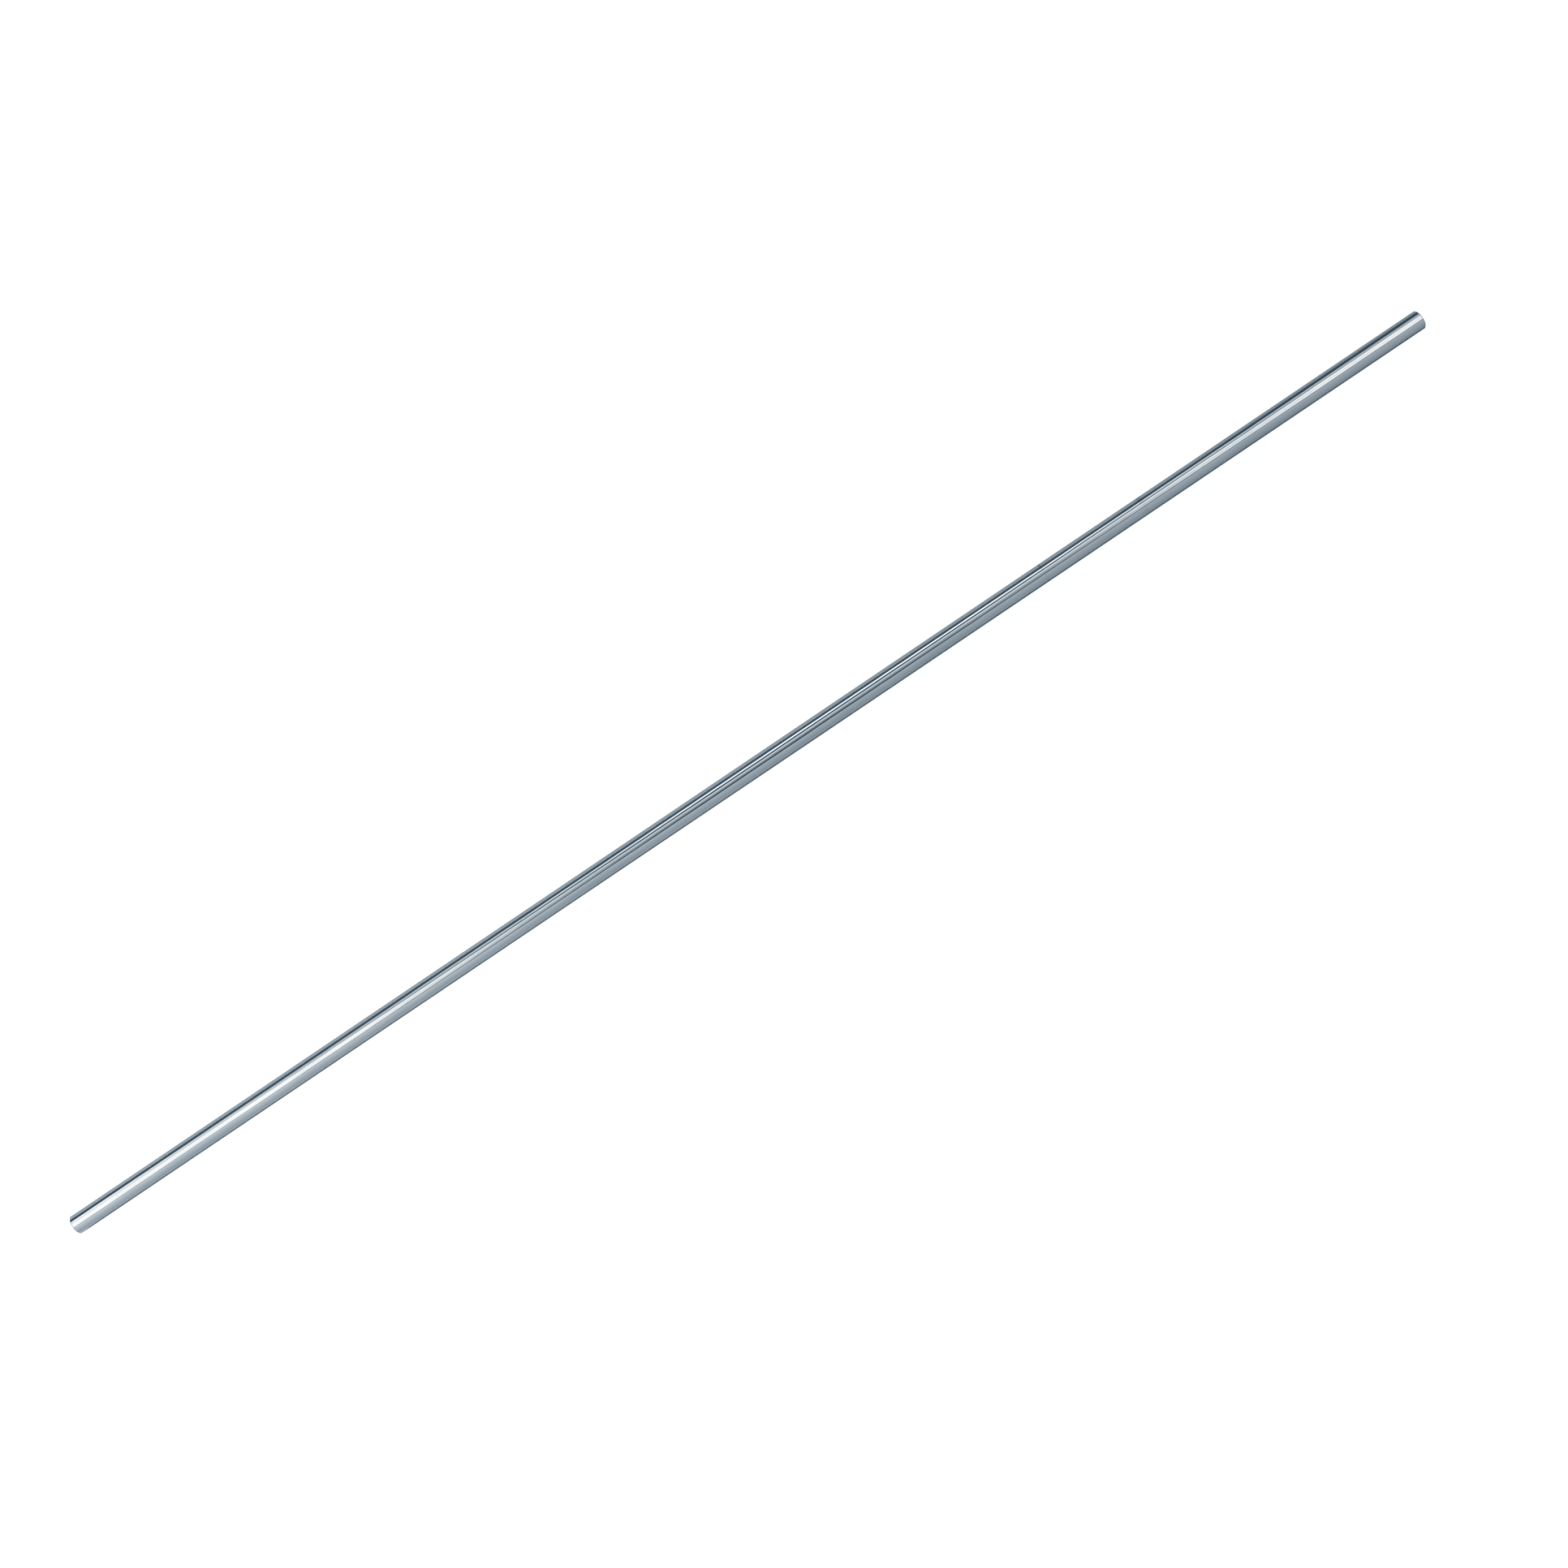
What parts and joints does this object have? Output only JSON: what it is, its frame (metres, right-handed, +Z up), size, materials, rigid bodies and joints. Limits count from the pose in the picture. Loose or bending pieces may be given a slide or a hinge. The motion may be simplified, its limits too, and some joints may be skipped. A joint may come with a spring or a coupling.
{
  "type": "guide rod",
  "caption": "Plain round guide rod with a ground, hard-chromed surface and chamfered ends, for a bushing or linear bearing to slide along.",
  "frame": {"origin": "on the rod's axis, midway between its two end faces", "axes": "+X along the rod's axis, +Z up as the rod lies on a level surface, +Y level across the rod"},
  "size_m": [0.8, 0.01, 0.01],
  "materials": {
    "hard_chromed_steel": "ground and polished hard chrome, cool grey; end faces and chamfers turned"
  },
  "bodies": {
    "root": {"guide_rod": "hard_chromed_steel"}
  },
  "joints": []
}
